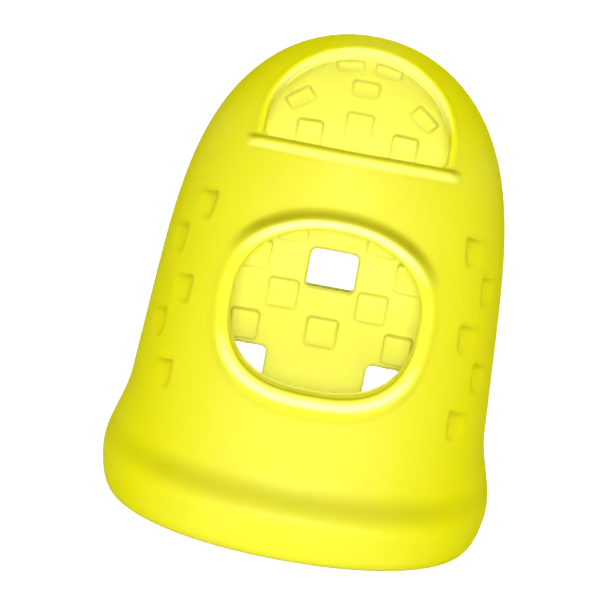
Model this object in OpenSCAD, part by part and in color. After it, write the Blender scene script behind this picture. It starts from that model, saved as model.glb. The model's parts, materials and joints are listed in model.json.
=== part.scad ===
// Guitar fingertip protector: one soft moulded cap with an arched nail window,
// an oval window with a raised rim, square vents and raised grip pads inside.
// It stands on its open rim with the closed tip up, and the windows face the front, -Y.

/* [Body] */
// Height from the open rim to the closed tip
cap_h = 30.5; // [29:0.1:32]
// Width that the straight taper of the body reaches at the rim plane
body_w = 22.66; // [21:0.02:24.5]
// Depth, front to back, that the same taper reaches at the rim plane
body_d = 19.3; // [18:0.1:21]
// How much each side draws in for each millimetre of height
side_taper = 0.062; // [0.04:0.002:0.08]
// Height at which the body begins to round over into the tip
shoulder_z = 11; // [9:0.25:13]
// How square the shoulders of the tip are
tip_fullness = 3.86; // [3:0.02:4.6]
// How square the plan section is, where 2 is a plain ellipse
section_power = 2.1; // [2:0.05:2.5]
// Thickness of the wall
wall = 1.2; // [1:0.05:1.5]
// Thickness of the crown at the very tip
crown_wall = 1.22; // [1:0.02:1.6]

/* [Hem] */
// How far the hem stands out from the taper at each side
hem_side = 0.76; // [0.4:0.02:1.2]
// How far the hem stands out at the front and the back
hem_front = 0.98; // [0.5:0.02:1.4]
// Height of the middle of the flare at each side
flare_side_z = 4.84; // [4:0.02:5.5]
// Height of the middle of the flare at the front and the back
flare_front_z = 4.35; // [4:0.05:4.6]
// Height that the flare spreads over at each side
flare_side_h = 5; // [3.5:0.1:5.6]
// Height that the flare spreads over at the front and the back
flare_front_h = 3.3; // [2.6:0.1:4]
// How far the flare keeps to its foot at the front and the back, where 1 is even
flare_front_bias = 1.7; // [1:0.1:2]
// Height of the rounding under the hem
hem_round_h = 4.2; // [2:0.1:4.8]
// How far that rounding draws in at the rim
hem_round_in = 1.43; // [0.8:0.01:1.5]
// How far the mouth opens out at the rim
mouth_lead = 0.3; // [0:0.05:0.4]
// Height of the part of the mouth that opens out
mouth_lead_h = 1.4; // [0.6:0.1:3]

/* [Nail window] */
// How far the straight ledge on the front lies below the tip
ledge_drop = 5.1; // [4.7:0.05:5.9]
// Width of the window
nail_w = 11.1; // [9:0.1:12]
// Height of the upright sides, square to the cut
nail_side_h = 1.58; // [1:0.02:2]
// Rise of the arch, square to the cut
nail_arch_h = 5.2; // [4.8:0.05:5.8]
// How far the ledge rises from its middle to the window's corners
nail_bow = 0.5; // [0:0.05:0.7]
// Radius of the two lower corners
nail_corner_r = 0.6; // [0.3:0.05:0.9]
// Upward tilt of the cut through the wall
nail_tilt = 35; // [30:1:38]
// Radius of the rounded edge
nail_lip_r = 0.42; // [0.3:0.02:0.5]
// How far the rounded edge stands proud of the wall
nail_lip_h = 0.1; // [0.02:0.02:0.2]
// How far the roll along the ledge stands proud
ledge_h = 0.21; // [0.1:0.01:0.3]
// How far that roll runs on past each corner
ledge_run = 1.1; // [0.5:0.1:1.5]

/* [Oval window] */
// Height of the middle of the window
oval_z = 15.55; // [15:0.05:16.5]
// Width of the window
oval_w = 11.32; // [9:0.02:12]
// Height of the window
oval_h = 10; // [8:0.1:11]
// How square the upper half is, where 2 is an ellipse
oval_top_power = 2.1; // [2:0.05:3]
// How square the lower half is
oval_low_power = 2.8; // [2:0.05:3.2]
// Radius of the rolled rim round the window
rim_r = 0.74; // [0.5:0.02:0.78]
// How far the rim stands proud of the wall
rim_h = 0.29; // [0.1:0.01:0.4]

/* [Vents] */
// Width of each square vent on the inside
vent_w = 2.9; // [2.4:0.1:3.2]
// Height of each square vent on the inside
vent_h = 2.45; // [2:0.05:2.9]
// Corner radius of a vent
vent_corner_r = 0.4; // [0.2:0.05:0.7]
// Draft that opens each vent towards the outside
vent_draft = 8; // [0:1:12]
// Height of the single vent behind the oval window
vent_mid_z = 13.45; // [13:0.05:13.9]
// Height of the two low vents
vent_low_z = 6.8; // [5:0.05:7]
// Sideways place of the two low vents
vent_low_x = 4.65; // [4.2:0.05:5]
// Slope of the two low vents' upper and lower edges, which rise outwards
vent_slope = 8.5; // [0:0.5:12]

/* [Grip pads] */
// Side of each square pad inside the back wall
pad_size = 1.82; // [1.4:0.02:2]
// Corner radius of a pad
pad_corner_r = 0.22; // [0.1:0.02:0.4]
// How far a pad stands up from the wall
pad_h = 0.28; // [0.16:0.02:0.4]
// Sideways pitch from the middle column to the next
pad_pitch_x = 2.78; // [2.6:0.02:2.9]
// Sideways place of the outer column
pad_outer_x = 4.8; // [4.6:0.05:5.2]
// Height of the lowest row
pad_low_z = 9.35; // [9.1:0.05:9.5]
// Height from one row to the next, staggered row
pad_pitch_z = 2.2; // [2.1:0.02:2.3]
// Slope of a pad's upper and lower edges for each millimetre that it lies off the middle
pad_slope = 1.6; // [0:0.1:2]

/* [Tip pads] */
// Width of a pad inside the tip
tip_pad_w = 1.56; // [1.3:0.02:1.8]
// Height of the upper pads there
tip_pad_h = 1.28; // [1:0.02:1.8]
// How far the lowest pair of pads inside the tip lies below the tip
tip_low_drop = 8.2; // [7.8:0.05:8.6]
// Sideways place of the lowest pair
tip_low_x = 2.97; // [2.6:0.01:3.2]
// Slope of the lowest pair's upper and lower edges, which rise outwards
tip_low_slope = 8; // [0:0.5:12]
// How far the middle pad lies below the tip
tip_mid_drop = 7.25; // [6.9:0.05:7.6]
// How far the upper middle pad lies below the tip
tip_high_drop = 4.5; // [4.2:0.05:4.8]
// How far the leaning pair lies below the tip
tip_lean_drop = 5.7; // [5.4:0.05:6]
// Sideways place of the leaning pair
tip_lean_x = 3.84; // [3.6:0.02:4]
// Lean of that pair, along the arch
tip_lean = 32; // [20:1:40]
// How far the top pair lies below the tip
tip_top_drop = 2.7; // [2.4:0.05:3]
// Sideways place of the top pair
tip_top_x = 1.19; // [1.1:0.01:1.4]
// Lean of the top pair
tip_top_lean = 4; // [0:1:10]

/* [Flank grips] */
// Side of each sunk square on the flanks
flank_size = 1.8; // [1.2:0.05:2]
// How deep a flank square is sunk along its upper and its front edge, from where its floor runs out
flank_depth = 0.28; // [0.1:0.02:0.4]
// Turn from the front to the middle of the nearer column
flank_turn = 57.5; // [54:0.5:60]
// Turn from one flank column to the next
flank_step = 11.5; // [11:0.5:14]
// Height of the lowest flank square
flank_low_z = 9; // [8.6:0.05:10]
// Height from one square to the next in a column
flank_pitch = 5.42; // [4.6:0.02:5.6]

/* [Hidden] */

silicone_yellow = [0.93, 0.91, 0.16];

around = 64;             // points round an outer ring
around_inside = 56;      // points round an inner ring
hem_rings = 9;           // rings in the rounding under the hem
flare_rings = 6;         // rings from there to the top of the flare
body_rings = 2;          // rings from there to the shoulder
tip_rings = 14;          // rings from the shoulder to the tip
lead_rings = 4;          // rings in the mouth's lead
tip_rings_inside = 11;   // rings inside the tip
rim_steps = 60;          // steps along a window's edge
lip_sides = 8;           // sides of the nail window's rounded edge
rim_sides = 12;          // sides of the oval window's rolled rim
corner_sides = 16;       // sides of a full corner circle
arch_steps = 32;         // steps along the nail window's arch
corner_steps = 4;        // steps round each of its lower corners
floor_steps = 8;         // steps along its floor
ledge_steps = 24;        // steps along the roll on the ledge
nudge = 0.02;            // step for a numeric slope
bite = 0.04;             // how far a cut takes the inner side of a rounded edge
halvings = 22;           // halvings in the search for the surface
overrun = 1;             // how far a cut runs past the surface it opens

flare_top = flare_side_z + flare_side_h / 2;
cavity_h = cap_h - crown_wall;
ledge_z = cap_h - ledge_drop;
rim_roll = min(rim_r, (wall + rim_h) / 2);

// Blending and vectors
function mix(a, b, t) = a + (b - a) * t;
function eased(t) = let (s = min(1, max(0, t))) s * s * (3 - 2 * s);
function unit(v) = v / norm(v);
function power(v, e) = sign(v) * pow(abs(v), e);

// Half the width or depth of the straight taper, drawn in by a wall
function taper(full, z, inset) = full / 2 - inset - side_taper * z;

// The share of the taper that is left at height z as the tip rounds over
function tip_square(z, top) =
    z <= shoulder_z ? 1 : max(0, 1 - pow((z - shoulder_z) / (top - shoulder_z), tip_fullness));

// One point of the plan section, with turn 0 at the front and 90 at +X
function section(turn) =
    [power(sin(turn), 2 / section_power), -power(cos(turn), 2 / section_power)];

// The flare above the hem sits lower and is steeper at the front and the back
function flare(z, turn) =
    let (share = pow(cos(turn), 2),
         middle = mix(flare_side_z, flare_front_z, share),
         spread = mix(flare_side_h, flare_front_h, share),
         fall = min(1, max(0, (middle + spread / 2 - z) / spread)))
    eased(pow(fall, mix(1, flare_front_bias, share)));

function hem_rounding(z) =
    z >= hem_round_h ? 0 : hem_round_in * (1 - sqrt(1 - pow(1 - z / hem_round_h, 2)));

function outer_point(z, turn) =
    let (tip = sqrt(tip_square(z, cap_h)), p = section(turn), f = flare(z, turn), r = hem_rounding(z))
    [(taper(body_w, z, 0) * tip + hem_side * f - r) * p.x,
     (taper(body_d, z, 0) * tip + hem_front * f - r) * p.y, z];

function inner_point(z, turn) =
    let (tip = sqrt(tip_square(z, cavity_h)), p = section(turn),
         lead = mouth_lead * pow(max(0, 1 - max(0, z) / mouth_lead_h), 2))
    [(taper(body_w, z, wall) * tip + lead) * p.x, (taper(body_d, z, wall) * tip + lead) * p.y, z];

// Below 0 inside the body and above 0 outside it, for any point above the flare
function beyond(p, inset, top) =
    let (x = abs(p.x) / taper(body_w, p.z, inset), y = abs(p.y) / taper(body_d, p.z, inset))
    pow(pow(x, section_power) + pow(y, section_power), 2 / section_power)
    - (p.z > top ? -overrun : tip_square(p.z, top));

function normal_at(p, inset, top) =
    unit([for (axis = [[nudge, 0, 0], [0, nudge, 0], [0, 0, nudge]])
        beyond(p + axis, inset, top) - beyond(p - axis, inset, top)]);

// How far the surface lies in front of or behind the middle, at a place x, z
function depth_at(x, z, inset, top) =
    let (tip = sqrt(tip_square(z, top)),
         left = pow(tip, section_power) - pow(abs(x) / taper(body_w, z, inset), section_power))
    taper(body_d, z, inset) * pow(max(0, left), 1 / section_power);

// The point where a line square to the nail window's cut meets the outside
function tilted(x, rise, out) =
    [x, rise * sin(nail_tilt) - out * cos(nail_tilt), rise * cos(nail_tilt) + out * sin(nail_tilt)];
function surface_out(x, rise, low, high, count) =
    let (middle = (low + high) / 2)
    count == 0 ? middle
    : beyond(tilted(x, rise, middle), 0, cap_h) > 0 ? surface_out(x, rise, low, middle, count - 1)
    : surface_out(x, rise, middle, high, count - 1);

nail_floor = ledge_z * cos(nail_tilt) - depth_at(0, ledge_z, 0, cap_h) * sin(nail_tilt);
nail_inner_end = cavity_h * sin(nail_tilt) - wall / 2;
nail_cut_length = cap_h / 2;

function on_outside_tilted(p) =
    tilted(p.x, p.y, surface_out(p.x, p.y, nail_inner_end, nail_inner_end + nail_cut_length, halvings));
function on_outside(p) = [p.x, -depth_at(p.x, p.y, 0, cap_h), p.y];

// The ledge under the nail window rises to both sides
function ledge_rise(x) = nail_floor + nail_bow * pow(2 * x / nail_w, 2);

// Outline of the nail window, grown by a margin: an arch over two rounded corners
function arch_outline(margin) =
    let (half = nail_w / 2 + margin, spring = nail_floor + nail_side_h,
         r = nail_corner_r + margin, low = ledge_rise(nail_w / 2 - nail_corner_r) - margin)
    concat(
        [for (i = [0:arch_steps]) let (t = 180 * i / arch_steps)
            [half * cos(t), spring + (nail_arch_h + margin) * sin(t)]],
        [for (i = [0:corner_steps]) let (t = 180 + 90 * i / corner_steps)
            [-half + r + r * cos(t), low + r + r * sin(t)]],
        [for (i = [1:floor_steps - 1]) let (x = mix(-half + r, half - r, i / floor_steps))
            [x, ledge_rise(x) - margin]],
        [for (i = [0:corner_steps]) let (t = 270 + 90 * i / corner_steps)
            [half - r + r * cos(t), low + r + r * sin(t)]]);

// Outline of the oval window, grown by a margin
function oval_outline(margin) =
    [for (i = [0:rim_steps - 1]) let (t = 360 * i / rim_steps,
        e = 2 / (sin(t) >= 0 ? oval_top_power : oval_low_power))
        [(oval_w / 2 + margin) * power(cos(t), e), oval_z + (oval_h / 2 + margin) * power(sin(t), e)]];

// A closed solid through a list of rings that ends in one point
module loft(rings, tip) {
    n = len(rings[0]);
    last = len(rings) - 1;
    faces = concat(
        [[for (i = [0:n - 1]) i]],
        [for (k = [0:last - 1], i = [0:n - 1]) let (j = (i + 1) % n) [k * n + i, (k + 1) * n + i, (k + 1) * n + j]],
        [for (k = [0:last - 1], i = [0:n - 1]) let (j = (i + 1) % n) [k * n + i, (k + 1) * n + j, k * n + j]],
        [for (i = [0:n - 1]) [last * n + i, len(rings) * n, last * n + (i + 1) % n]]);
    polyhedron(points = concat([for (ring = rings) each ring], [tip]), faces = faces, convexity = 4);
}

// A round bar along a path, with one radius for each point of the path
module bar(path, normals, radii, sides, closed) {
    n = len(path);
    spans = closed ? n : n - 1;
    rings = [for (i = [0:n - 1])
        let (ahead = path[closed ? (i + 1) % n : min(n - 1, i + 1)],
             behind = path[closed ? (i + n - 1) % n : max(0, i - 1)],
             along = unit(ahead - behind),
             across = unit(cross(normals[i], along)),
             out = cross(along, across))
        for (s = [0:sides - 1]) let (t = 360 * (s + 0.5) / sides)
            path[i] + radii[i] * (cos(t) * across + sin(t) * out)];
    skin = [for (i = [0:spans - 1], s = [0:sides - 1])
        let (a = i * sides, b = ((i + 1) % n) * sides, q = (s + 1) % sides)
        each [[a + s, b + s, b + q], [a + s, b + q, a + q]]];
    ends = closed ? [] : [[for (s = [0:sides - 1]) s], [for (s = [0:sides - 1]) n * sides - 1 - s]];
    polyhedron(points = rings, faces = concat(skin, ends), convexity = 8);
}

// A rounded rectangle slab at p, lying square to normal, from -below to +above along it,
// with the edges that run across it sloping by slope
module slab(p, normal, right, w, h, r, below, above, slope = 0) {
    level = unit(right - normal * (right * normal));
    up = cross(normal, level);
    across = level + tan(slope) * up;
    multmatrix([[across.x, up.x, normal.x, p.x], [across.y, up.y, normal.y, p.y],
                [across.z, up.z, normal.z, p.z]])
    hull() for (i = [-1, 1], j = [-1, 1])
        translate([i * (w / 2 - r), j * (h / 2 - r), -below])
            cylinder(r = r, h = below + above, $fn = corner_sides);
}

module outside() {
    heights = concat(
        [for (i = [0:hem_rings - 1]) hem_round_h * (1 - cos(90 * i / hem_rings))],
        [for (i = [0:flare_rings - 1]) mix(hem_round_h, flare_top, i / flare_rings)],
        [for (i = [0:body_rings - 1]) mix(flare_top, shoulder_z, i / body_rings)],
        [for (i = [0:tip_rings - 1]) mix(shoulder_z, cap_h, 1 - pow(1 - i / tip_rings, 2))]);
    loft([for (z = heights) [for (i = [0:around - 1]) outer_point(z, 360 * i / around)]],
         [0, 0, cap_h]);
}

module cavity() {
    heights = concat(
        [-overrun],
        [for (i = [0:lead_rings]) mouth_lead_h * i / lead_rings],
        [for (i = [0:tip_rings_inside - 1])
            mix(shoulder_z, cavity_h, 1 - pow(1 - i / tip_rings_inside, 2))]);
    loft([for (z = heights) [for (i = [0:around_inside - 1]) inner_point(z, 360 * i / around_inside)]],
         [0, 0, cavity_h]);
}

// The rolled rim round the oval window, as thick as the wall and what it stands proud
module oval_rim() {
    path = [for (p = oval_outline(rim_roll - bite)) on_outside(p)];
    normals = [for (p = path) normal_at(p, 0, cap_h)];
    bar([for (i = [0:len(path) - 1]) path[i] - (rim_roll - rim_h) * normals[i]], normals,
        [for (p = path) rim_roll], rim_sides, true);
}

// The rounded edge of the nail window
module nail_lip() {
    path = [for (p = arch_outline(nail_lip_r - bite)) on_outside_tilted(p)];
    normals = [for (p = path) normal_at(p, 0, cap_h)];
    bar([for (i = [0:len(path) - 1]) path[i] - (nail_lip_r - nail_lip_h) * normals[i]], normals,
        [for (p = path) nail_lip_r], lip_sides, true);
}

// The roll along the ledge, which thins away past the window's corners
module ledge_roll() {
    reach = nail_w / 2 + ledge_run;
    path = [for (i = [0:ledge_steps]) let (x = mix(reach, -reach, i / ledge_steps))
        on_outside_tilted([x, ledge_rise(x) - nail_lip_r + bite])];
    normals = [for (p = path) normal_at(p, 0, cap_h)];
    radii = [for (p = path) nail_lip_r * sqrt(min(1, (reach - abs(p.x) + bite) / ledge_run))];
    bar([for (i = [0:ledge_steps]) path[i] - radii[i] * (1 - ledge_h / nail_lip_r) * normals[i]],
        normals, radii, lip_sides, false);
}

module nail_cut() {
    multmatrix([[1, 0, 0, 0], [0, sin(nail_tilt), -cos(nail_tilt), 0],
                [0, cos(nail_tilt), sin(nail_tilt), 0]])
    translate([0, 0, nail_inner_end])
        linear_extrude(height = nail_cut_length) polygon(arch_outline(0));
}

module oval_cut() {
    rotate([90, 0, 0]) linear_extrude(height = body_d) polygon(oval_outline(0));
}

// A square vent through the back wall, wider outside by its draft
module vent(x, z, slope) {
    grow = 2 * (wall + 2 * overrun) * tan(vent_draft);
    inside_y = depth_at(x, z, wall, cavity_h) - overrun;
    shrink = 2 * overrun * tan(vent_draft);
    hull() {
        for (end = [0, 1])
            translate([0, inside_y + end * (wall + 2 * overrun), 0])
            slab([x, 0, z], [0, 1, 0], [1, 0, 0], vent_w - shrink + end * grow,
                 vent_h - shrink + end * grow, vent_corner_r, 0, bite, -slope);
    }
}

// A raised square on the inside of the back wall, with its sides turned in the front view,
// or only its upper and lower edges sloped
module grip_pad(x, z, lean = 0, slope = 0, w = pad_size, h = pad_size) {
    p = [x, depth_at(x, z, wall, cavity_h), z];
    slab(p, -normal_at(p, wall, cavity_h), [-cos(lean), 0, -sin(lean)], w, h,
         pad_corner_r, wall / 2, pad_h, slope);
}

module grip_pads() {
    row = [for (i = [0:4]) pad_low_z + i * pad_pitch_z];
    for (z = [row[0], row[4]]) {
        grip_pad(0, z);
        for (x = [-pad_outer_x, pad_outer_x]) grip_pad(x, z, slope = pad_slope * x);
    }
    for (x = [-pad_outer_x, pad_outer_x]) grip_pad(x, row[2] + pad_h, slope = pad_slope * x);
    for (x = [-pad_pitch_x, pad_pitch_x], z = [row[1], row[3]])
        grip_pad(x, z, slope = pad_slope * x);
    tip_pads();
}

// Pads inside the tip, laid along the arch of the nail window
module tip_pads() {
    grip_pad(0, cap_h - tip_mid_drop, w = tip_pad_w);
    grip_pad(0, cap_h - tip_high_drop, w = tip_pad_w, h = tip_pad_h);
    for (side = [-1, 1]) {
        grip_pad(side * tip_low_x, cap_h - tip_low_drop, slope = side * tip_low_slope, w = tip_pad_w);
        grip_pad(side * tip_lean_x, cap_h - tip_lean_drop, -side * tip_lean, w = tip_pad_w, h = tip_pad_h);
        grip_pad(side * tip_top_x, cap_h - tip_top_drop, -side * tip_top_lean, w = tip_pad_w, h = tip_pad_h);
    }
}

// A shallow square sunk into the flank, deepest at its upper front corner
module flank_square(turn, z) {
    ring = section(turn);
    tip = sqrt(tip_square(z, cap_h));
    p = [taper(body_w, z, 0) * tip * ring.x, taper(body_d, z, 0) * tip * ring.y, z];
    out = normal_at(p, 0, cap_h);
    back = unit(cross([0, 0, sign(turn)], out));
    up = cross(out, back) * sign(turn);
    floor_normal = unit(out + (up - back) * flank_depth / flank_size);
    slab(p, floor_normal, back, flank_size, flank_size, pad_corner_r, flank_depth / 2, overrun);
}

module flank_grips() {
    for (side = [-1, 1]) {
        for (i = [0:2]) flank_square(side * flank_turn, flank_low_z + i * flank_pitch);
        for (i = [0:1])
            flank_square(side * (flank_turn + flank_step), flank_low_z + (i + 0.5) * flank_pitch);
    }
}

module fingertip_cap() {
    color(silicone_yellow)
    difference() {
        union() {
            difference() {
                outside();
                cavity();
            }
            oval_rim();
            nail_lip();
            ledge_roll();
            grip_pads();
        }
        oval_cut();
        nail_cut();
        vent(0, vent_mid_z, 0);
        for (side = [-1, 1]) vent(side * vent_low_x, vent_low_z, side * vent_slope);
        flank_grips();
    }
}

fingertip_cap();
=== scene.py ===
import json
import math

import bpy
import numpy as np
from mathutils import Matrix, Vector

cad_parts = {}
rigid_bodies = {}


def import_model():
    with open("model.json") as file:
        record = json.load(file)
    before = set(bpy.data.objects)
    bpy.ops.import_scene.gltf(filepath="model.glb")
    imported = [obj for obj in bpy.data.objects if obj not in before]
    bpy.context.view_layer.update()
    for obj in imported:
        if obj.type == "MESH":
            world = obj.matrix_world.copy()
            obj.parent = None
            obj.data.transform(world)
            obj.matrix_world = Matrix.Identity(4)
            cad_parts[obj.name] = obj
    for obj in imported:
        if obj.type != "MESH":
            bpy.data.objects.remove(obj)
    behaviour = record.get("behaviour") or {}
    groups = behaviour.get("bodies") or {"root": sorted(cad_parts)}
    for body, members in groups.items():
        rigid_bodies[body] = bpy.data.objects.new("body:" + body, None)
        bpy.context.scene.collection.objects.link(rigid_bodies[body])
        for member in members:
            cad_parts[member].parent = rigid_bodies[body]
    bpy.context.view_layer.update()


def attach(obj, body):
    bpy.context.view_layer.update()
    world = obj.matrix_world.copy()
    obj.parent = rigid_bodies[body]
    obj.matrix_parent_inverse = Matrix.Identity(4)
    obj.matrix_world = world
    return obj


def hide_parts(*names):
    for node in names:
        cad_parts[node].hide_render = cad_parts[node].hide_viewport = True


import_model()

# The cap is modelled in millimetres at the solid's own sizes, and made metres at the end
MM = 0.001

CAP_H = 30.5
BODY_W = 22.66
BODY_D = 19.3
SIDE_TAPER = 0.062
SHOULDER_Z = 11
TIP_FULLNESS = 3.86
SECTION_POWER = 2.1
WALL = 1.2
CROWN_WALL = 1.22
CAVITY_H = CAP_H - CROWN_WALL

HEM_SIDE = 0.76
HEM_FRONT = 0.98
FLARE_SIDE_Z = 4.84
FLARE_FRONT_Z = 4.35
FLARE_SIDE_H = 5
FLARE_FRONT_H = 3.3
FLARE_FRONT_BIAS = 1.7
HEM_ROUND_H = 4.2
HEM_ROUND_IN = 1.43
MOUTH_LEAD = 0.3
MOUTH_LEAD_H = 1.4

LEDGE_Z = 25.4
NAIL_W = 11.1
NAIL_SIDE_H = 1.58
NAIL_ARCH_H = 5.2
NAIL_BOW = 0.5
NAIL_CORNER_R = 0.6
NAIL_TILT = math.radians(35)
NAIL_LIP_R = 0.42
NAIL_LIP_H = 0.1
LEDGE_H = 0.21
LEDGE_RUN = 1.1

OVAL_Z = 15.55
OVAL_W = 11.32
OVAL_H = 10
OVAL_TOP_POWER = 2.1
OVAL_LOW_POWER = 2.8
RIM_R = 0.74
RIM_H = 0.29

# The fillet at the foot of a window's rolled rim, wider at the oval's sides and below it, the
# share of the rim's height that is left at the sides, and where its round gives way to a slope
RIM_FILLET = 0.22
SIDE_FILLET = 0.5
SIDE_SHARE = 0.15
SIDE_START = 0.35
RIM_STEEP = 0.12

VENT_W = 2.9
VENT_H = 2.45
VENT_CORNER_R = 0.3
VENT_DRAFT = math.radians(8)
VENT_MID_Z = 13.45
VENT_LOW_Z = 6.8
VENT_LOW_X = 4.65
VENT_SLOPE = math.tan(math.radians(8.5))

PAD_SIZE = 1.82
PAD_CORNER_R = 0.22
PAD_H = 0.28
PAD_PITCH_X = 2.78
PAD_OUTER_X = 4.8
PAD_LOW_Z = 9.35
PAD_PITCH_Z = 2.2
PAD_SLOPE = math.radians(1.6)

TIP_PAD_W = 1.56
TIP_PAD_H = 1.28
TIP_LOW_DROP = 8.2
TIP_LOW_X = 2.97
TIP_LOW_SLOPE = math.tan(math.radians(8))
TIP_MID_DROP = 7.25
TIP_HIGH_DROP = 4.5
TIP_LEAN_DROP = 5.7
TIP_LEAN_X = 3.84
TIP_LEAN = math.radians(32)
TIP_TOP_DROP = 2.7
TIP_TOP_X = 1.19
TIP_TOP_LEAN = math.radians(4)

FLANK_SIZE = 1.8
FLANK_DEPTH = 0.28
FLANK_TURN = math.radians(57.5)
FLANK_STEP = math.radians(11.5)
FLANK_LOW_Z = 9
FLANK_PITCH = 5.42

# The upper and lower edges of a flank square drop backward, so that they look level from the
# photograph's side
FLANK_DROP = 0.26

# Half widths, places and strengths of the painted shade lines round the pads, vents and flank squares
PAD_LINE = 0.16
PAD_LINE_OUT = 0.03
PAD_TOP = 0.4
PAD_SHADE = 0.32
TIP_LOW_STRENGTH = 1.25
VENT_LINE = 0.18
VENT_LINE_OUT = 0.08
VENT_SHADE = 0.5
FLANK_LINE = 0.4
FLANK_LINE_OUT = -0.05
FLANK_SHADE = 0.4

# The same for the painted shade at the foot of the oval rim, the painted highlight bands on both rims and
# the painted shade in the crease at the ledge, with the ramps that let them fade out towards the windows'
# sides
FOOT_OUT = 1.0
FOOT_WIDTH = 0.5
FOOT_SHADE = 0.85
FOOT_RAMP = 2.2
UPPER_RAMP = 1.6
UPPER_START = 0.5
HIGHLIGHT_TOP = 0.5
HIGHLIGHT_LOW = 0.55
HIGHLIGHT_WIDTH = 0.4
HIGHLIGHT_SHARE = 0.65
LIP_OUT = 0.06
LIP_WIDTH = 0.3
LIP_HIGHLIGHT_SHARE = 0.5
LIP_RAMP = 3
LIP_START = 0.6
CREASE_OUT = 0.18
CREASE_WIDTH = 0.28
CREASE_SHADE = 0.85
ROLL_OUT = 0.65
ROLL_WIDTH = 0.3
ROLL_HIGHLIGHT_SHARE = 0.25

# How fast a painted shade or painted highlight comes in: behind and before the middle, over the oval's
# middle and over the ledge
FACE_RAMP = 2
HALF_RAMP = 20
LEDGE_RAMP = 5

# The painted shade line along the windows' edges
EDGE_LINE = 0.09
EDGE_LINE_OUT = 0.09
LOW_EDGE_SHADE = 0.75
TOP_EDGE_SHADE = 0.1
ARCH_EDGE_SHADE = 0.45

# The painted shade in the crease over the hem
HEM_CREASE_Z = 3.9
HEM_WIDTH = 1.25
HEM_REACH = 13
HEM_RAMP = 2.6
HEM_SHADE = 0.42

# Where the colour deepens towards the sides and the tip, a painted shade that goes with the painted light
# in the middle of the front
EDGE_START = 4.5
EDGE_START_Z = 24.5
EDGE_TIP = 1.2
EDGE_SPREAD = 5

# The silicone's colours: in the middle of the front, paler with painted light, at the sides, inside, much
# paler with painted light standing in for light through the wall, the painted highlight on the rims'
# crests, the painted shade lines and the cloud
FRONT_YELLOW = (0.525, 0.508, 0.016, 1)
SIDE_YELLOW = (0.53, 0.507, 0.001, 1)
INNER_LIT_YELLOW = (0.99, 0.97, 0.16, 1)
HIGHLIGHT_YELLOW = (0.96, 0.94, 0.42, 1)
SHADE_LINE_YELLOW = (0.23, 0.212, 0.001, 1)
CLOUD_YELLOW = (0.6, 0.58, 0.02, 1)

# How much of a faint cloud is in the colour, and how strong the sheen is in front and at the sides
CLOUD = 0.03
COAT = 0.62
SIDE_COAT = 0.1

# How finely the skins are drawn, and how the finished wall is softened
AROUND = 560
GRAIN = 0.1
SOFTEN = 4
TRIANGLES = 190000

# How far a cutter runs on past the skin that it cuts
OVERRUN = 1.0

# How soon the mark of the inner side fades out across the wall, as a share of the body's reach
INSIDE_CHANGE = 0.06

# How far the finished skin stays inside the solid's box
INSET = 0.012


def mix(a, b, t):
    return a + (b - a) * t


def eased(t):
    t = np.clip(t, 0, 1)
    return t * t * (3 - 2 * t)


# Half the width or depth of the straight taper, drawn in by a wall
def taper(full, z, inset):
    return full / 2 - inset - SIDE_TAPER * z


# The share of the taper that is left at height z as the tip rounds over
def tip_square(z, top):
    rise = np.clip((z - SHOULDER_Z) / (top - SHOULDER_Z), 0, 1)
    return 1 - rise ** TIP_FULLNESS


# The plan section, with turn 0 at the front and a quarter turn at +X
def section(turn):
    across, back = np.sin(turn), -np.cos(turn)
    power = 2 / SECTION_POWER
    return np.sign(across) * abs(across) ** power, np.sign(back) * abs(back) ** power


# The flare above the hem sits lower and is steeper at the front and the back
def flare(z, turn):
    share = np.cos(turn) ** 2
    middle = mix(FLARE_SIDE_Z, FLARE_FRONT_Z, share)
    spread = mix(FLARE_SIDE_H, FLARE_FRONT_H, share)
    fall = np.clip((middle + spread / 2 - z) / spread, 0, 1)
    return eased(fall ** mix(1, FLARE_FRONT_BIAS, share))


def hem_rounding(z):
    below = np.clip(1 - z / HEM_ROUND_H, 0, 1)
    return HEM_ROUND_IN * (1 - np.sqrt(1 - below ** 2))


def outer_skin(z, turn):
    x, y = section(turn)
    tip = np.sqrt(tip_square(z, CAP_H))
    hem, lip = flare(z, turn), hem_rounding(z)
    wide = taper(BODY_W, z, 0) * tip + HEM_SIDE * hem - lip - INSET
    deep = taper(BODY_D, z, 0) * tip + HEM_FRONT * hem - lip - INSET
    return np.stack([wide * x, deep * y, z], axis=-1)


def inner_skin(z, turn):
    x, y = section(turn)
    tip = np.sqrt(tip_square(z, CAVITY_H))
    lead = MOUTH_LEAD * np.clip(1 - np.maximum(z, 0) / MOUTH_LEAD_H, 0, 1) ** 2
    wide = taper(BODY_W, z, WALL) * tip + lead
    deep = taper(BODY_D, z, WALL) * tip + lead
    return np.stack([wide * x, deep * y, z], axis=-1)


# Below 0 inside the body and above 0 outside it, for points above the flare
def beyond(p, inset, top):
    p = np.asarray(p, float)
    x = abs(p[..., 0]) / taper(BODY_W, p[..., 2], inset)
    y = abs(p[..., 1]) / taper(BODY_D, p[..., 2], inset)
    reach = (x ** SECTION_POWER + y ** SECTION_POWER) ** (2 / SECTION_POWER)
    return reach - np.where(p[..., 2] > top, -1, tip_square(p[..., 2], top))


def normal_at(p, inset, top):
    step = 0.02 * np.eye(3)
    slope = [beyond(p + s, inset, top) - beyond(p - s, inset, top) for s in step]
    slope = np.stack(slope, axis=-1)
    return slope / np.linalg.norm(slope, axis=-1, keepdims=True)


# How far the surface lies behind or in front of the middle, at a place x, z
def depth_at(x, z, inset, top):
    left = tip_square(z, top) ** (SECTION_POWER / 2)
    left = left - (abs(x) / taper(BODY_W, z, inset)) ** SECTION_POWER
    return taper(BODY_D, z, inset) * np.maximum(left, 0) ** (1 / SECTION_POWER)


def on_front(x, z):
    return np.stack([x, -depth_at(x, z, 0, CAP_H), z], axis=-1)


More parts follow.
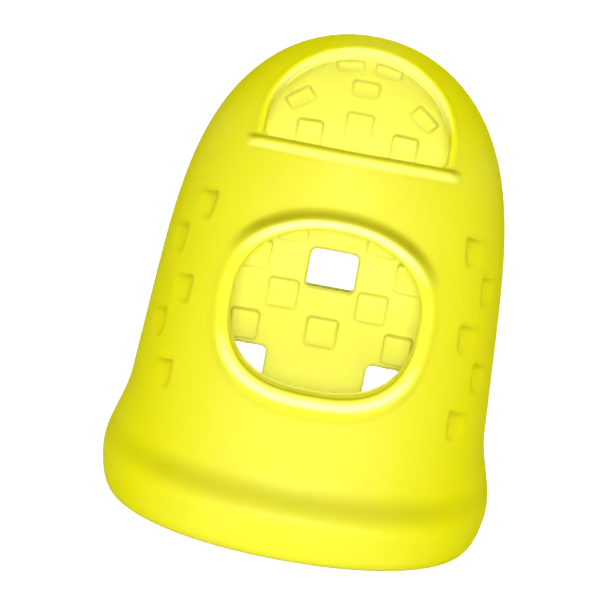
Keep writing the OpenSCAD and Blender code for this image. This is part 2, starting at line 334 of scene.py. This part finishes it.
# A place in the nail window's cut: sideways, up square to the cut, and out along it
def tilted(x, rise, out):
    s, c = math.sin(NAIL_TILT), math.cos(NAIL_TILT)
    return np.stack([x + 0 * rise, rise * s - out * c, rise * c + out * s], axis=-1)


NAIL_FLOOR = LEDGE_Z * math.cos(NAIL_TILT) - depth_at(0, LEDGE_Z, 0, CAP_H) * math.sin(NAIL_TILT)
NAIL_INNER_END = CAVITY_H * math.sin(NAIL_TILT) - WALL / 2
NAIL_OUTER_END = NAIL_INNER_END + CAP_H / 2


def on_tilted_front(x, rise):
    low = np.full_like(x, NAIL_INNER_END)
    high = np.full_like(x, NAIL_OUTER_END)
    for _ in range(30):
        middle = (low + high) / 2
        outside = beyond(tilted(x, rise, middle), 0, CAP_H) > 0
        high = np.where(outside, middle, high)
        low = np.where(outside, low, middle)
    return tilted(x, rise, low)


# The ledge under the nail window rises to both sides
def ledge_rise(x):
    return NAIL_FLOOR + NAIL_BOW * (2 * x / NAIL_W) ** 2


def arch_outline(count):
    half, spring = NAIL_W / 2, NAIL_FLOOR + NAIL_SIDE_H
    r = NAIL_CORNER_R
    corner = ledge_rise(half - r) + r
    over = np.linspace(0, math.pi, count)
    left = np.linspace(math.pi, 1.5 * math.pi, count // 8)
    right = np.linspace(1.5 * math.pi, 2 * math.pi, count // 8)
    run = np.linspace(-half + r, half - r, count // 2)[1:-1]
    x = [half * np.cos(over), -half + r + r * np.cos(left), run, half - r + r * np.cos(right)]
    rise = [spring + NAIL_ARCH_H * np.sin(over), corner + r * np.sin(left), ledge_rise(run),
            corner + r * np.sin(right)]
    return np.concatenate(x), np.concatenate(rise)


def oval_outline(count):
    t = np.linspace(0, 2 * math.pi, count, endpoint=False)
    power = 2 / np.where(np.sin(t) >= 0, OVAL_TOP_POWER, OVAL_LOW_POWER)
    x = OVAL_W / 2 * np.sign(np.cos(t)) * abs(np.cos(t)) ** power
    z = OVAL_Z + OVAL_H / 2 * np.sign(np.sin(t)) * abs(np.sin(t)) ** power
    return x, z


# Working with objects and edit mode

def clear_selection():
    if bpy.context.mode != "OBJECT":
        bpy.ops.object.mode_set(mode="OBJECT")
    bpy.ops.object.select_all(action="DESELECT")


def pick(*objects):
    clear_selection()
    for obj in objects:
        obj.select_set(True)
    bpy.context.view_layer.objects.active = objects[0]


def new_piece(name):
    piece = bpy.context.object
    piece.name = name
    piece.data.name = name
    return piece


def places(obj):
    flat = np.empty(len(obj.data.vertices) * 3)
    obj.data.vertices.foreach_get("co", flat)
    return flat.reshape(-1, 3)


def set_places(obj, points):
    obj.data.vertices.foreach_set("co", np.asarray(points, float).ravel())
    obj.data.update()


def join(objects, name):
    pick(*objects)
    bpy.ops.object.join()
    return new_piece(name)


def apply_modifier(obj, kind, **settings):
    pick(obj)
    modifier = obj.modifiers.new(kind.title(), kind)
    for key, value in settings.items():
        setattr(modifier, key, value)
    bpy.ops.object.modifier_apply(modifier=modifier.name)


def cut(obj, tool, operation):
    apply_modifier(obj, "BOOLEAN", object=tool, operation=operation, solver="MANIFOLD")
    bpy.data.objects.remove(tool)


# A closed skin: a sheet rolled round the mould, each of its rows drawn to the section at its height
def skin(name, heights, top, point):
    rows = len(heights) + 2
    clear_selection()
    bpy.ops.mesh.primitive_grid_add(x_subdivisions=AROUND, y_subdivisions=rows - 1, size=2)
    wall = new_piece(name)
    start = places(wall)
    turn = start[:, 0] * math.pi
    row = np.rint((start[:, 1] + 1) / 2 * (rows - 1)).astype(int)
    z = np.concatenate([heights[:1], heights, [top]])[row]
    points = point(z, turn)
    points[(row == 0) | (row == rows - 1), :2] = 0
    set_places(wall, points)
    bpy.ops.object.mode_set(mode="EDIT")
    bpy.ops.mesh.select_all(action="SELECT")
    bpy.ops.mesh.remove_doubles(threshold=0.00001)
    bpy.ops.mesh.normals_make_consistent(inside=False)
    bpy.ops.object.mode_set(mode="OBJECT")
    return wall


# A slab square to a surface, standing from below to above it, with rounded corners, and
# with the edges that run across it sloping by slope
def slab(name, place, normal, right, wide, tall, below, above, slope=0):
    level = right - normal * np.dot(right, normal)
    level = level / np.linalg.norm(level)
    up = np.cross(normal, level)
    across = level + slope * up
    clear_selection()
    bpy.ops.mesh.primitive_cube_add(size=1, location=(0, 0, 0))
    piece = new_piece(name)
    piece.scale = (wide, tall, below + above)
    bpy.ops.object.transform_apply(location=False, rotation=False, scale=True)
    bpy.ops.object.mode_set(mode="EDIT")
    bpy.ops.mesh.select_all(action="DESELECT")
    bpy.ops.object.mode_set(mode="OBJECT")
    for edge in piece.data.edges:
        a, b = (piece.data.vertices[i].co for i in edge.vertices)
        edge.select = abs(a.z - b.z) > 0.5 * (below + above)
    bpy.ops.object.mode_set(mode="EDIT")
    bpy.ops.mesh.select_mode(type="EDGE")
    bpy.ops.mesh.bevel(offset=PAD_CORNER_R, segments=4)
    bpy.ops.object.mode_set(mode="OBJECT")
    centre = place + normal * (above - below) / 2
    turn = Matrix([[across[i], up[i], normal[i], centre[i]] for i in range(3)] + [[0, 0, 0, 1]])
    piece.data.transform(turn)
    return piece


# A straight prism through the wall, from an outline of points along a direction
def prism(name, outline, along):
    clear_selection()
    bpy.ops.mesh.primitive_circle_add(vertices=len(outline), radius=1, fill_type="NGON")
    tool = new_piece(name)
    set_places(tool, outline)
    bpy.ops.object.mode_set(mode="EDIT")
    bpy.ops.mesh.select_all(action="SELECT")
    bpy.ops.mesh.extrude_region_move(TRANSFORM_OT_translate={"value": tuple(along)})
    bpy.ops.mesh.select_all(action="SELECT")
    bpy.ops.mesh.normals_make_consistent(inside=False)
    bpy.ops.object.mode_set(mode="OBJECT")
    return tool


def outer_heights():
    foot = HEM_ROUND_H * (1 - np.cos(np.linspace(0, math.pi / 2, 36, endpoint=False)))
    flare_top = FLARE_SIDE_Z + FLARE_SIDE_H / 2
    hem = np.linspace(HEM_ROUND_H, flare_top, 24, endpoint=False)
    body = np.linspace(flare_top, SHOULDER_Z, 28, endpoint=False)
    tip = mix(SHOULDER_Z, CAP_H, 1 - (1 - np.linspace(0, 1, 190, endpoint=False)) ** 2)
    return np.concatenate([foot, hem, body, tip])


def inner_heights():
    lead = np.linspace(0, MOUTH_LEAD_H, 16)
    side = np.linspace(MOUTH_LEAD_H, SHOULDER_Z, 24)[1:-1]
    tip = mix(SHOULDER_Z, CAVITY_H, 1 - (1 - np.linspace(0, 1, 110, endpoint=False)) ** 2)
    return np.concatenate([[-OVERRUN], lead, side, tip])


# Distance of each point from a line of points
def distance(points, line):
    away = np.full(len(points), np.inf)
    for start in range(0, len(line), 40):
        part = line[start:start + 40]
        gap = np.linalg.norm(points[:, None, :] - part[None, :, :], axis=2)
        away = np.minimum(away, gap.min(axis=1))
    return away


# How high a rolled rim stands over the wall, at a distance from the window's edge
def rolled_rim(away, radius, height, fillet):
    start = RIM_STEEP * radius
    offset = np.clip(away, start, 2 * radius) - radius
    top = np.sqrt(radius ** 2 - offset ** 2) - (radius - height)
    slope = (radius - start) / math.sqrt(radius ** 2 - (radius - start) ** 2)
    inner = top - slope * np.maximum(start - away, 0)
    blend = np.clip(0.5 + 0.5 * top / fillet, 0, 1)
    outer = top * blend + fillet * blend * (1 - blend)
    return np.where(away < radius, np.maximum(inner, -WALL / 2), outer)


def inside_oval(x, z):
    power = np.where(z > OVAL_Z, OVAL_TOP_POWER, OVAL_LOW_POWER)
    return abs(2 * x / OVAL_W) ** power + abs(2 * (z - OVAL_Z) / OVAL_H) ** power < 1


def inside_arch(x, rise):
    over = np.maximum(rise - NAIL_FLOOR - NAIL_SIDE_H, 0) / NAIL_ARCH_H
    return (rise > ledge_rise(x)) & ((2 * x / NAIL_W) ** 2 + over ** 2 < 1)


# Raises the rims round both windows, and the roll that runs on past the ledge's ends
def raise_rims(wall):
    points = places(wall)
    near = np.flatnonzero((points[:, 1] < 0) & (points[:, 2] > OVAL_Z - OVAL_H / 2 - 2))
    spots = points[near]
    x, z = spots[:, 0], spots[:, 2]
    rise = spots[:, 1] * math.sin(NAIL_TILT) + z * math.cos(NAIL_TILT)
    oval = distance(spots, on_front(*oval_outline(900)))
    oval = np.where(inside_oval(x, z), -oval, oval)
    arch = distance(spots, on_tilted_front(*arch_outline(600)))
    arch = np.where(inside_arch(x, rise), -arch, arch)
    reach = NAIL_W / 2 + LEDGE_RUN
    run = np.linspace(-reach, reach, 400)
    ledge = distance(spots, on_tilted_front(run, ledge_rise(run)))
    fade = eased((reach - abs(x)) / LEDGE_RUN)
    over = (z - OVAL_Z) / (OVAL_H / 2)
    fillet = mix(SIDE_FILLET, RIM_FILLET, eased(over))
    share = mix(SIDE_SHARE, 1, eased((abs(over) - SIDE_START) / (1 - SIDE_START)))
    height = rolled_rim(oval, RIM_R, RIM_H * share, fillet)
    lip = rolled_rim(arch, NAIL_LIP_R, NAIL_LIP_H, RIM_FILLET)
    roll = rolled_rim(ledge, NAIL_LIP_R, LEDGE_H, RIM_FILLET) * fade
    height = height + np.where(rise < ledge_rise(x), np.maximum(lip, roll), lip)
    points[near] += height[:, None] * normal_at(spots, 0, CAP_H)
    set_places(wall, points)


# A pad's place on the inner wall, the wall's normal there and the direction of its edges
def pad_frame(x, z, lean):
    place = np.array([x, depth_at(x, z, WALL, CAVITY_H), z])
    normal = -normal_at(place, WALL, CAVITY_H)
    return place, normal, np.array([-math.cos(lean), 0, -math.sin(lean)])


def grip_pad(x, z, lean=0, slope=0, wide=PAD_SIZE, tall=PAD_SIZE):
    place, normal, right = pad_frame(x, z, lean)
    return slab("grip_pad", place, normal, right, wide, tall, WALL / 2, PAD_H, slope)


def pad_spots(sides):
    rows = [PAD_LOW_Z + i * PAD_PITCH_Z for i in range(5)]
    spots = [(0, rows[0]), (0, rows[4])]
    spots += [(0, CAP_H - TIP_MID_DROP, 0, 0, TIP_PAD_W)]
    spots += [(0, CAP_H - TIP_HIGH_DROP, 0, 0, TIP_PAD_W, TIP_PAD_H)]
    for side in sides:
        outer, inner = side * PAD_OUTER_X, side * PAD_PITCH_X
        spots += [(outer, z, 0, PAD_SLOPE * outer) for z in (rows[0], rows[2] + PAD_H, rows[4])]
        spots += [(inner, z, 0, PAD_SLOPE * inner) for z in (rows[1], rows[3])]
        upper = (0, TIP_PAD_W, TIP_PAD_H)
        spots += [(side * TIP_LOW_X, CAP_H - TIP_LOW_DROP, 0, side * TIP_LOW_SLOPE, TIP_PAD_W)]
        spots += [(side * TIP_LEAN_X, CAP_H - TIP_LEAN_DROP, -side * TIP_LEAN, *upper)]
        spots += [(side * TIP_TOP_X, CAP_H - TIP_TOP_DROP, -side * TIP_TOP_LEAN, *upper)]
    return spots


def grip_pads():
    return join([grip_pad(*spot) for spot in pad_spots((-1, 1))], "grip_pads")


# A flank square's place, the wall's normal there and its directions backward and up
def flank_frame(turn, z):
    x, y = section(turn)
    tip = math.sqrt(tip_square(z, CAP_H))
    place = np.array([taper(BODY_W, z, 0) * tip * x, taper(BODY_D, z, 0) * tip * y, z])
    out = normal_at(place, 0, CAP_H)
    side = math.copysign(1, turn)
    back = np.cross([0, 0, side], out)
    back = back / np.linalg.norm(back)
    return place, out, back, side * np.cross(out, back)


# A sunk square, deepest at its upper front corner
def flank_square(turn, z):
    place, out, back, up = flank_frame(turn, z)
    floor_normal = out + (up - back) * FLANK_DEPTH / FLANK_SIZE
    floor_normal = floor_normal / np.linalg.norm(floor_normal)
    drop = -math.copysign(FLANK_DROP, turn)
    return slab("flank_square", place, floor_normal, back, FLANK_SIZE, FLANK_SIZE,
                FLANK_DEPTH / 2, OVERRUN, drop)


def flank_spots(side):
    near = [(side * FLANK_TURN, FLANK_LOW_Z + i * FLANK_PITCH) for i in range(3)]
    far = [(side * (FLANK_TURN + FLANK_STEP), FLANK_LOW_Z + (i + 0.5) * FLANK_PITCH) for i in range(2)]
    return near + far


def flank_squares():
    return join([flank_square(*spot) for spot in flank_spots(-1) + flank_spots(1)], "flank_squares")


# A square vent through the back wall, wider outside by its draft
def vent(x, z, slope):
    start = depth_at(x, z, WALL, CAVITY_H) - OVERRUN
    length = WALL + 2 * OVERRUN
    shrink = 2 * OVERRUN * math.tan(VENT_DRAFT)
    grow = 2 * length * math.tan(VENT_DRAFT)
    clear_selection()
    bpy.ops.mesh.primitive_cube_add(size=1, location=(0, 0, 0))
    tool = new_piece("vent")
    points = places(tool)
    outside = points[:, 1] > 0
    wide = np.where(outside, VENT_W - shrink + grow, VENT_W - shrink)
    tall = np.where(outside, VENT_H - shrink + grow, VENT_H - shrink)
    across, up = points[:, 0] * wide, points[:, 2] * tall
    along = start + (points[:, 1] + 0.5) * length
    set_places(tool, np.stack([across, along, up], axis=1))
    for edge in tool.data.edges:
        a, b = (tool.data.vertices[i].co for i in edge.vertices)
        edge.select = abs(a.y - b.y) > length / 2
    bpy.ops.object.mode_set(mode="EDIT")
    bpy.ops.mesh.select_mode(type="EDGE")
    bpy.ops.mesh.bevel(offset=VENT_CORNER_R, segments=6)
    bpy.ops.object.mode_set(mode="OBJECT")
    points = places(tool)
    points += np.stack([x + 0 * points[:, 0], 0 * points[:, 0], z + slope * points[:, 0]], axis=1)
    set_places(tool, points)
    return tool


def oval_cutter():
    x, z = oval_outline(240)
    return prism("oval_cutter", np.stack([x, 0 * x - BODY_D, z], axis=1), (0, BODY_D, 0))


def nail_cutter():
    x, rise = arch_outline(120)
    inner = tilted(x, rise, 0 * x + NAIL_INNER_END)
    along = (NAIL_OUTER_END - NAIL_INNER_END) * np.array([0, -math.cos(NAIL_TILT), math.sin(NAIL_TILT)])
    return prism("nail_cutter", inner, along)


# Marks the skin on the inner side of the wall's middle, with a soft change over the wall's cut edges
def mark_inside(cap):
    depth = beyond(places(cap), WALL / 2, (CAP_H + CAVITY_H) / 2)
    mark = cap.data.attributes.new("inside", "FLOAT", "POINT")
    mark.data.foreach_set("value", np.clip(0.5 - depth / INSIDE_CHANGE, 0, 1))


# Deletes the specks that the cuts leave inside the wall, apart from the skin itself
def delete_specks(cap):
    pick(cap)
    bpy.ops.object.mode_set(mode="EDIT")
    bpy.ops.mesh.select_mode(type="VERT")
    bpy.ops.mesh.select_all(action="DESELECT")
    bpy.ops.object.mode_set(mode="OBJECT")
    crown = int(np.argmax(places(cap)[:, 2]))
    cap.data.vertices[crown].select = True
    bpy.ops.object.mode_set(mode="EDIT")
    bpy.ops.mesh.select_linked()
    bpy.ops.mesh.select_all(action="INVERT")
    bpy.ops.mesh.delete(type="VERT")
    bpy.ops.object.mode_set(mode="OBJECT")


def fingertip_cap():
    cap = skin("fingertip_cap_skin", outer_heights(), CAP_H, outer_skin)
    raise_rims(cap)
    cut(cap, skin("cavity", inner_heights(), CAVITY_H, inner_skin), "DIFFERENCE")
    cut(cap, grip_pads(), "UNION")
    vents = [vent(0, VENT_MID_Z, 0)]
    vents += [vent(side * VENT_LOW_X, VENT_LOW_Z, side * VENT_SLOPE) for side in (-1, 1)]
    cut(cap, join([oval_cutter(), nail_cutter(), flank_squares(), *vents], "cutters"), "DIFFERENCE")
    apply_modifier(cap, "REMESH", mode="VOXEL", voxel_size=GRAIN)
    apply_modifier(cap, "SMOOTH", factor=0.5, iterations=SOFTEN)
    drawn = 2 * len(cap.data.polygons)
    apply_modifier(cap, "DECIMATE", decimate_type="COLLAPSE", ratio=TRIANGLES / drawn)
    delete_specks(cap)
    points = places(cap)
    points[:, 2] = np.maximum(points[:, 2], 0)
    set_places(cap, points)
    mark_inside(cap)
    cap.data.transform(Matrix.Scale(MM, 4))
    pick(cap)
    bpy.ops.object.shade_smooth()
    return cap


# Shader nodes as expressions

class Value:
    def __init__(self, tree, socket):
        self.tree, self.socket = tree, socket

    def math(self, operation, *others):
        sockets = dict(enumerate([self, *others]))
        return node(self.tree, "ShaderNodeMath", {"operation": operation}, sockets)

    def __add__(self, other):
        return self.math("ADD", other)

    def __radd__(self, other):
        return self.math("ADD", other)

    def __sub__(self, other):
        return self.math("SUBTRACT", other)

    def __rsub__(self, other):
        return self.math("MULTIPLY_ADD", -1, other)

    def __mul__(self, other):
        return self.math("MULTIPLY", other)

    def __rmul__(self, other):
        return self.math("MULTIPLY", other)

    def __rtruediv__(self, other):
        return self.math("POWER", -1) * other

    def __abs__(self):
        return self.math("ABSOLUTE")


def node(tree, kind, settings, sockets, output=0):
    made = tree.nodes.new(kind)
    for key, value in settings.items():
        setattr(made, key, value)
    for key, value in sockets.items():
        if isinstance(value, Value):
            tree.links.new(value.socket, made.inputs[key])
        elif value is not None:
            made.inputs[key].default_value = value
    return Value(tree, made.outputs[output]) if made.outputs else made


def new_material(name):
    material = bpy.data.materials.new(name)
    material.use_nodes = True
    material.node_tree.nodes.clear()
    return material, material.node_tree


def dot(here, direction):
    settings = {"operation": "DOT_PRODUCT"}
    return node(here.tree, "ShaderNodeVectorMath", settings, {0: here, 1: tuple(direction)}, "Value")


def blend(factor, a, b):
    sockets = {"Factor": factor, 6: a, 7: b}
    return node(factor.tree, "ShaderNodeMix", {"data_type": "RGBA"}, sockets, 2)


def mixed(factor, a, b):
    return factor * (b - a) + a


def clamped(value):
    return value.math("MAXIMUM", 0).math("MINIMUM", 1)


# 1 on a line where the value is 0, falling to 0 at the line's half width
def line_at(value, half_width):
    sockets = {"Value": abs(value), "From Min": 0.0, "From Max": half_width, "To Min": 1.0, "To Max": 0.0}
    return node(value.tree, "ShaderNodeMapRange", {"interpolation_type": "SMOOTHSTEP"}, sockets)


# Signed distance from a rounded square's edge, with the height within the square
def square_edge(here, place, right, up, wide, tall, corner):
    across = dot(here, right) - float(np.dot(place, right))
    height = dot(here, up) - float(np.dot(place, up))
    x = abs(across) - (wide / 2 - corner)
    y = abs(height) - (tall / 2 - corner)
    out = node(here.tree, "ShaderNodeCombineXYZ", {}, {0: x.math("MAXIMUM", 0), 1: y.math("MAXIMUM", 0)})
    out = node(here.tree, "ShaderNodeVectorMath", {"operation": "LENGTH"}, {0: out}, "Value")
    away = out + x.math("MAXIMUM", y).math("MINIMUM", 0) - corner
    return away, across, height


# The thin painted shade line round each pad and vent inside the back wall, darkest along a pad's upper
# edge
def inner_shade_lines(here):
    shade_lines = None
    for x, z, *rest in pad_spots((1,)):
        lean, slope, wide, tall = rest + [0, 0, PAD_SIZE, PAD_SIZE][len(rest):]
        place, normal, right = pad_frame(x, z, lean)
        level = right - normal * np.dot(right, normal)
        level = level / np.linalg.norm(level)
        up = np.cross(normal, level)
        edge = square_edge(here, place, level, up - slope * level, wide, tall, PAD_CORNER_R)
        away, _, height = edge
        strength = TIP_LOW_STRENGTH if x == TIP_LOW_X else 1
        shade = line_at(away - PAD_LINE_OUT, PAD_LINE) * (PAD_SHADE - height * (PAD_TOP / tall))
        shade = shade * strength
        shade_lines = shade if shade_lines is None else shade_lines.math("MAXIMUM", shade)
    for x, z, slope in ((0, VENT_MID_Z, 0), (VENT_LOW_X, VENT_LOW_Z, VENT_SLOPE)):
        place = np.array([x, 0, z])
        up = np.array([-slope, 0, 1])
        away, _, _ = square_edge(here, place, np.array([1, 0, 0]), up, VENT_W, VENT_H, VENT_CORNER_R)
        shade_lines = shade_lines.math("MAXIMUM", line_at(away - VENT_LINE_OUT, VENT_LINE) * VENT_SHADE)
    return shade_lines


# The painted shade along the upper and the front edge of each flank square
def flank_shade_lines(here):
    shade_lines = None
    for turn, z in flank_spots(1):
        place, out, back, up = flank_frame(turn, z)
        edge = square_edge(here, place, back, up + FLANK_DROP * back, FLANK_SIZE, FLANK_SIZE, PAD_CORNER_R)
        away, across, height = edge
        share = clamped((height - across) * (1 / FLANK_SIZE) + 0.5)
        shade = line_at(away - FLANK_LINE_OUT, FLANK_LINE) * share * FLANK_SHADE
        shade_lines = shade if shade_lines is None else shade_lines.math("MAXIMUM", shade)
    return shade_lines


# The painted shade over the oval window, the painted highlight band along its rim's crest and the painted
# shade line at its edge
def oval_painted_bands(x, z):
    across = abs(x) * (2 / OVAL_W)
    over = (z - OVAL_Z) * (2 / OVAL_H)
    power = clamped(over * HALF_RAMP) * (OVAL_TOP_POWER - OVAL_LOW_POWER) + OVAL_LOW_POWER
    reach = across.math("POWER", power) + abs(over).math("POWER", power)
    away = (reach.math("POWER", 1 / power) - 1) * (OVAL_H / 2)
    upper = clamped(over * UPPER_RAMP - UPPER_START)
    foot = line_at(away - FOOT_OUT, FOOT_WIDTH) * clamped(over * FOOT_RAMP - 1) * FOOT_SHADE
    painted_highlight = line_at(away - mixed(upper, HIGHLIGHT_LOW, HIGHLIGHT_TOP), HIGHLIGHT_WIDTH)
    painted_highlight = painted_highlight * clamped(abs(over) * FOOT_RAMP - 1) * HIGHLIGHT_SHARE
    edge = line_at(away - EDGE_LINE_OUT, EDGE_LINE)
    edge = edge * mixed(clamped(over * 0.5 + 0.5), LOW_EDGE_SHADE, TOP_EDGE_SHADE)
    return foot, painted_highlight, edge


# The painted shade in the crease under the nail window's ledge, the painted highlight bands on its lip and
# roll and the painted shade line at its edge
def nail_painted_bands(x, y, z):
    rise = y * math.sin(NAIL_TILT) + z * math.cos(NAIL_TILT)
    above = (rise - NAIL_FLOOR - NAIL_SIDE_H).math("MAXIMUM", 0) * (1 / NAIL_ARCH_H)
    level = abs(x) * (2 / NAIL_W)
    away = ((level * level + above * above).math("SQRT") - 1) * (NAIL_W / 2)
    lip = line_at(away - LIP_OUT, LIP_WIDTH) * clamped(above * LIP_RAMP - LIP_START) * LIP_HIGHLIGHT_SHARE
    below = level * level * NAIL_BOW + NAIL_FLOOR - rise
    along = clamped((NAIL_W / 2 + LEDGE_RUN - abs(x)) * (2 / LEDGE_RUN))
    crease_shade = line_at(below - CREASE_OUT, CREASE_WIDTH) * along * CREASE_SHADE
    roll = line_at(below - ROLL_OUT, ROLL_WIDTH) * along * ROLL_HIGHLIGHT_SHARE
    edge = line_at(away - EDGE_LINE_OUT, EDGE_LINE) * clamped(below * -LEDGE_RAMP) * ARCH_EDGE_SHADE
    return crease_shade, lip.math("MAXIMUM", roll), edge


# Painted shade along the crease over the hem, fading out towards the sides
def hem_crease_shade(x, z):
    middle = clamped(HEM_RAMP - abs(x) * (HEM_RAMP / HEM_REACH))
    return line_at(z - HEM_CREASE_Z, HEM_WIDTH) * middle * HEM_SHADE


def silicone():
    material, tree = new_material("silicone")
    object_place = node(tree, "ShaderNodeTexCoord", {}, {}, "Object")
    cloud = node(tree, "ShaderNodeTexNoise", {}, {"Vector": object_place, "Scale": 260.0, "Detail": 3.0})
    grain = node(tree, "ShaderNodeTexNoise", {}, {"Vector": object_place, "Scale": 2600.0, "Detail": 2.0})
    inside = node(tree, "ShaderNodeAttribute", {"attribute_name": "inside"}, {}, "Fac")

    # The two sides are alike, so the painted shade lines are drawn for one of them, in millimetres
    split = tree.nodes.new("ShaderNodeSeparateXYZ")
    tree.links.new(object_place.socket, split.inputs[0])
    x, y, z = (Value(tree, split.outputs[i]) * (1 / MM) for i in range(3))
    here = node(tree, "ShaderNodeCombineXYZ", {}, {0: abs(x), 1: y, 2: z})
    behind, before = clamped(y * FACE_RAMP), clamped(y * -FACE_RAMP)
    outside = 1 - inside
    foot, crest_highlight, oval_edge_shade = oval_painted_bands(x, z)
    crease_shade, lip, nail_edge_shade = nail_painted_bands(x, y, z)
    # Painted shade at the oval rim's foot, under the ledge and in the hem's crease, and painted shade
    # lines round pads, vents, flank squares and window edges
    painted_shade = foot.math("MAXIMUM", crease_shade).math("MAXIMUM", hem_crease_shade(x, z))
    painted_highlight = crest_highlight.math("MAXIMUM", lip) * before * outside
    shade_lines = inner_shade_lines(here) * behind * inside
    shade_lines = shade_lines.math("MAXIMUM", flank_shade_lines(here) * outside)
    shade_lines = shade_lines.math("MAXIMUM", painted_shade * before * outside)
    shade_lines = shade_lines.math("MAXIMUM", oval_edge_shade.math("MAXIMUM", nail_edge_shade) * before)

    # Painted light: the colour is paler in the middle of the front and much paler inside, standing in for
    # light coming through the silicone, and deeper at the sides as painted shade
    high = (z - EDGE_START_Z).math("MAXIMUM", 0) * EDGE_TIP
    edge = clamped((abs(x) + high - EDGE_START) * (1 / EDGE_SPREAD))
    colour = blend(inside, blend(edge, FRONT_YELLOW, SIDE_YELLOW), INNER_LIT_YELLOW)
    # The painted highlight bands on the rims, then the painted shade lines, go over the colour
    colour = blend(painted_highlight, colour, HIGHLIGHT_YELLOW)
    colour = blend(shade_lines, colour, SHADE_LINE_YELLOW)
    colour = blend(cloud * CLOUD, colour, CLOUD_YELLOW)
    bump = node(tree, "ShaderNodeBump", {}, {"Strength": 0.25, "Distance": 0.00003, "Height": grain})
    # The coat is taken out under the painted shade lines
    coat = mixed(edge * outside, COAT, SIDE_COAT) * (1 - shade_lines)
    shader = node(tree, "ShaderNodeBsdfPrincipled", {}, {
        "Base Color": colour, "Roughness": 0.9, "IOR": 1.43, "Specular IOR Level": 0.0,
        "Coat Weight": coat, "Coat Roughness": 0.5, "Coat IOR": 1.43,
        "Subsurface Weight": 0.8, "Subsurface Radius": (1.0, 0.9, 0.15), "Subsurface Scale": 0.0015,
        "Normal": bump})
    node(tree, "ShaderNodeOutputMaterial", {}, {"Surface": shader})
    return material


def floor_material():
    material, tree = new_material("pale_floor")
    seen = node(tree, "ShaderNodeLightPath", {}, {}, "Is Camera Ray")
    paper = node(tree, "ShaderNodeBsdfDiffuse", {}, {"Color": (0.9, 0.9, 0.9, 1)})
    thin = node(tree, "ShaderNodeBsdfDiffuse", {}, {"Color": (0.3, 0.3, 0.3, 1)})
    white = node(tree, "ShaderNodeEmission", {}, {"Color": (1, 1, 1, 1), "Strength": 0.97})
    look = node(tree, "ShaderNodeAddShader", {}, {0: thin, 1: white})
    shader = node(tree, "ShaderNodeMixShader", {}, {0: seen, 1: paper, 2: look})
    node(tree, "ShaderNodeOutputMaterial", {}, {"Surface": shader})
    return material


def floor():
    clear_selection()
    bpy.ops.mesh.primitive_plane_add(size=3, location=(0, 0, -0.00002))
    ground = new_piece("floor")
    ground.data.materials.append(floor_material())


def world():
    made = bpy.data.worlds.new("studio")
    bpy.context.scene.world = made
    made.use_nodes = True
    tree = made.node_tree
    tree.nodes.clear()
    seen = node(tree, "ShaderNodeLightPath", {}, {}, "Is Camera Ray")
    light = node(tree, "ShaderNodeBackground", {}, {"Color": (1, 1, 1, 1), "Strength": 0.05})
    white = node(tree, "ShaderNodeBackground", {}, {"Color": (1, 1, 1, 1), "Strength": 1.0})
    shader = node(tree, "ShaderNodeMixShader", {}, {0: seen, 1: light, 2: white})
    node(tree, "ShaderNodeOutputWorld", {}, {"Surface": shader})


# The heights that the lamps stand round and point at
LAMP_Z = 0.012
LAMP_AIM_Z = 0.014


# A lamp seen from the cap at a turn from the front and a rise over level, both in degrees
def softbox(name, turn, rise, away, width, height, glow):
    target = Vector((0, 0, LAMP_AIM_Z))
    turn, rise = math.radians(turn), math.radians(rise)
    level = away * math.cos(rise)
    place = Vector((level * math.sin(turn), -level * math.cos(turn), LAMP_Z + away * math.sin(rise)))
    data = bpy.data.lights.new(name, "AREA")
    data.shape = "RECTANGLE"
    data.size, data.size_y = width, height
    data.energy = glow * math.pi * width * height
    lamp = bpy.data.objects.new(name, data)
    bpy.context.scene.collection.objects.link(lamp)
    lamp.location = place
    lamp.rotation_euler = (target - place).to_track_quat("-Z", "Y").to_euler()
    return lamp


# The photograph's view: its height above level, its lean, its scale and its middle
VIEW_UP = math.radians(17)
VIEW_LEAN = math.radians(10.5)
PHOTO_WIDTH = 612
PIXELS_PER_MM = 16.5
VIEW_WIDTH = PHOTO_WIDTH / PIXELS_PER_MM * MM
VIEW_MIDDLE = Vector((-1.194, 0, 13.24)) * MM
VIEW_AWAY = 1.0


def camera():
    data = bpy.data.cameras.new("camera")
    data.sensor_width = 36
    data.lens = 36 * VIEW_AWAY / VIEW_WIDTH
    data.clip_start, data.clip_end = 0.1, 10
    eye = bpy.data.objects.new("camera", data)
    bpy.context.scene.collection.objects.link(eye)
    back = Vector((0, -math.cos(VIEW_UP), math.sin(VIEW_UP)))
    turn = Matrix.Rotation(math.pi / 2 - VIEW_UP, 3, "X") @ Matrix.Rotation(VIEW_LEAN, 3, "Z")
    eye.location = VIEW_MIDDLE + back * VIEW_AWAY
    eye.rotation_euler = turn.to_euler()
    bpy.context.scene.camera = eye


cap = fingertip_cap()
cap.data.materials.clear()
cap.data.materials.append(silicone())
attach(cap, "root")
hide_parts("fingertip_cap")

floor()
world()
softbox("key", 0, 18, 0.8, 0.08, 0.08, 244)
softbox("low", 0, -3.5, 0.07, 0.14, 0.012, 8)
softbox("top", 0, 85, 0.4, 0.35, 0.2, 5.6)
softbox("left", -120, 15, 0.3, 0.06, 0.2, 3.5)
softbox("right", 120, 15, 0.3, 0.06, 0.2, 3.5)
softbox("back", 180, 50, 0.3, 0.25, 0.12, 0.5)
camera()

scene = bpy.context.scene
scene.view_settings.view_transform = "Standard"
